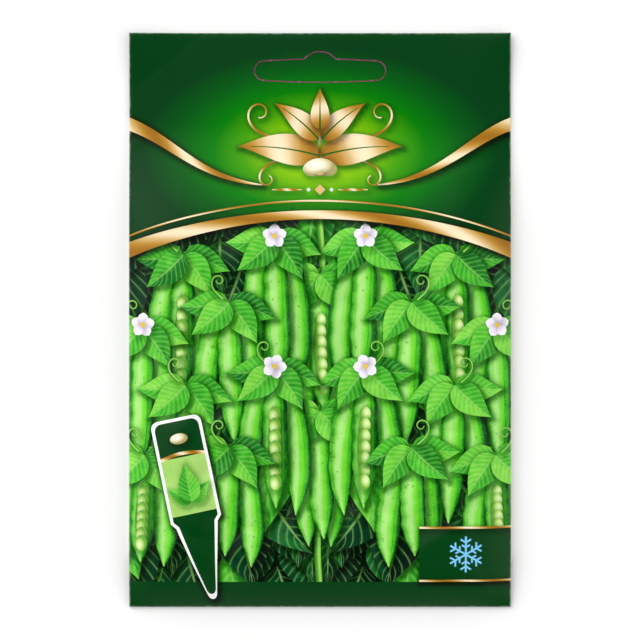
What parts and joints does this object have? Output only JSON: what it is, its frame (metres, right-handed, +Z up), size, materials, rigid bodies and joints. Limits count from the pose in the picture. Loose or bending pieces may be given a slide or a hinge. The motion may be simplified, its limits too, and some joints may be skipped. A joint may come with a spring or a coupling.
{
  "type": "seed packet",
  "caption": "Filled flat seed packet of folded coated paper, with a perforated hang slot, loose bean seeds and a plant label sealed inside.",
  "frame": {"origin": "centre of the packet's outline, on the surface that its back lies on", "axes": "+X to the packet's right, +Y towards its header and hang slot, +Z up, out of its printed front"},
  "size_m": [0.093, 0.14, 0.0072],
  "materials": {
    "printed_paper": "coated paper printed in dark and leaf greens with gold bands, satin gloss",
    "label_plastic": "white plastic sheet, satin",
    "seed_coat": "smooth ivory bean seed coat, semi gloss"
  },
  "bodies": {
    "root": {"packet_paper": "printed_paper", "plant_label": "label_plastic", "seed_01": "seed_coat", "seed_02": "seed_coat", "seed_03": "seed_coat", "seed_04": "seed_coat", "seed_05": "seed_coat", "seed_06": "seed_coat", "seed_07": "seed_coat", "seed_08": "seed_coat", "seed_09": "seed_coat", "seed_10": "seed_coat", "seed_11": "seed_coat", "seed_12": "seed_coat", "seed_13": "seed_coat", "seed_14": "seed_coat", "seed_15": "seed_coat", "seed_16": "seed_coat", "seed_17": "seed_coat", "seed_18": "seed_coat", "seed_19": "seed_coat", "seed_20": "seed_coat", "seed_21": "seed_coat", "seed_22": "seed_coat", "seed_23": "seed_coat", "seed_24": "seed_coat", "seed_25": "seed_coat", "seed_26": "seed_coat", "seed_27": "seed_coat", "seed_28": "seed_coat", "seed_29": "seed_coat", "seed_30": "seed_coat", "seed_31": "seed_coat", "seed_32": "seed_coat", "seed_33": "seed_coat", "seed_34": "seed_coat", "seed_35": "seed_coat", "seed_36": "seed_coat", "seed_37": "seed_coat", "seed_38": "seed_coat", "seed_39": "seed_coat", "seed_40": "seed_coat", "seed_41": "seed_coat", "seed_42": "seed_coat", "seed_43": "seed_coat", "seed_44": "seed_coat"}
  },
  "joints": []
}
